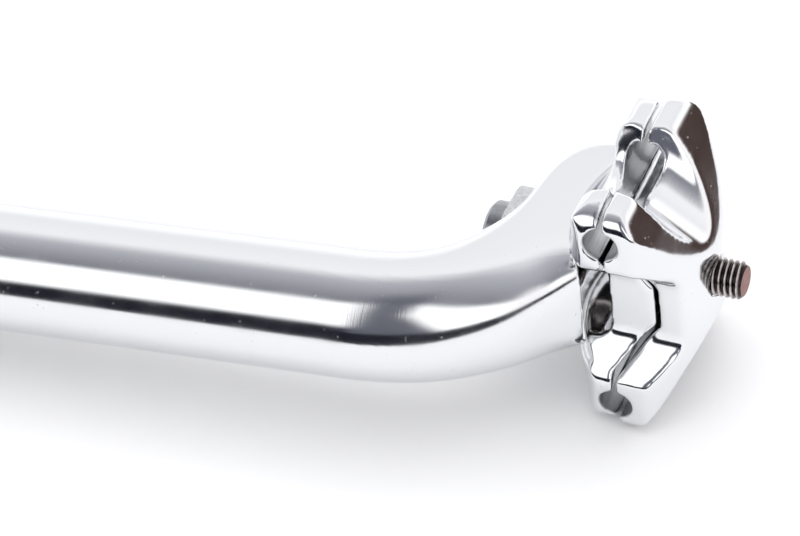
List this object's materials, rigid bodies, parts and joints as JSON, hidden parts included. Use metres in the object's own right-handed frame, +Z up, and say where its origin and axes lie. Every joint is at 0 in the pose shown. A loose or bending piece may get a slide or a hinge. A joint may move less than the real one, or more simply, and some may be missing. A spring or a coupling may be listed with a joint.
{
  "type": "bicycle seatpost",
  "caption": "Set-back bicycle seatpost: a round tube bent into a flattened head, with a rocking single-bolt clamp whose ears hold the saddle rails",
  "frame": {"origin": "bottom centre of the box of the post as it lies at rest on its side", "axes": "+X along the post towards the clamp, +Y to the rear of the bicycle, +Z up, which is sideways on the bicycle"},
  "size_m": [0.3224, 0.0618, 0.0584],
  "materials": {
    "post_aluminium": "polished",
    "clamp_aluminium": "polished",
    "bolt_steel": "dark zinc plated",
    "washer_zinc": "rough cast"
  },
  "bodies": {
    "post": {"post": "post_aluminium"},
    "cradle": {"lower_clamp": "clamp_aluminium", "rocker_washer": "washer_zinc"},
    "cap": {"upper_clamp": "clamp_aluminium"},
    "bolt": {"clamp_bolt": "bolt_steel"}
  },
  "joints": [
    {"name": "clamp_tilt", "type": "hinge", "parent": "post", "child": "cradle", "pos_m": [0.1576, 0.00699, 0.03018], "axis": [-0.0521, 0, 0.9986], "range_deg": [-6, 6]},
    {"name": "bolt_turn", "type": "hinge", "parent": "cradle", "child": "bolt", "pos_m": [0.13923, 0.00893, 0.02922], "axis": [-0.9932, 0.1045, -0.0518], "range_deg": [0, 1440]},
    {"name": "cap_lift", "type": "slide", "parent": "cradle", "child": "cap", "axis": [0.9932, -0.1045, 0.0518], "range_m": [0, 0.005]}
  ],
  "couplings": [
    {"joint": "bolt_turn", "follows": "cap_lift", "rad_per_m": 5026.5}
  ]
}
